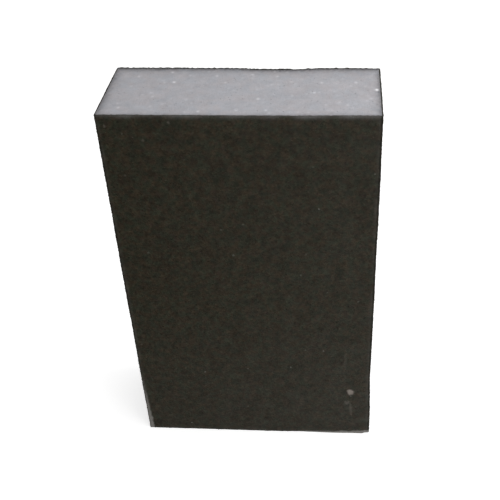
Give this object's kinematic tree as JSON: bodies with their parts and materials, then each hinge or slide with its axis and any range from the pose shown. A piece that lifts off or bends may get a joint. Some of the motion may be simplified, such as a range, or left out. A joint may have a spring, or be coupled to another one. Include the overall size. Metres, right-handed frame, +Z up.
{
  "type": "chalkboard eraser",
  "caption": "Hand-held block eraser: a grey foam core with a thin dark gritty wiping coat glued to its four long faces and bare foam at both cut ends.",
  "frame": {"origin": "centre of the cut end that the block stands on", "axes": "+Z up the block between its two cut ends, +X across the broad wiping faces, +Y through the block from its front face to its back"},
  "size_m": [0.065, 0.025, 0.105],
  "materials": {
    "foam": "matte",
    "glue": "matte",
    "coat": "matte"
  },
  "bodies": {
    "root": {"foam_core": "foam", "front_glue_film": "glue", "back_glue_film": "glue", "left_glue_film": "glue", "right_glue_film": "glue", "front_wiping_coat": "coat", "back_wiping_coat": "coat", "left_edge_coat": "coat", "right_edge_coat": "coat"}
  },
  "joints": []
}
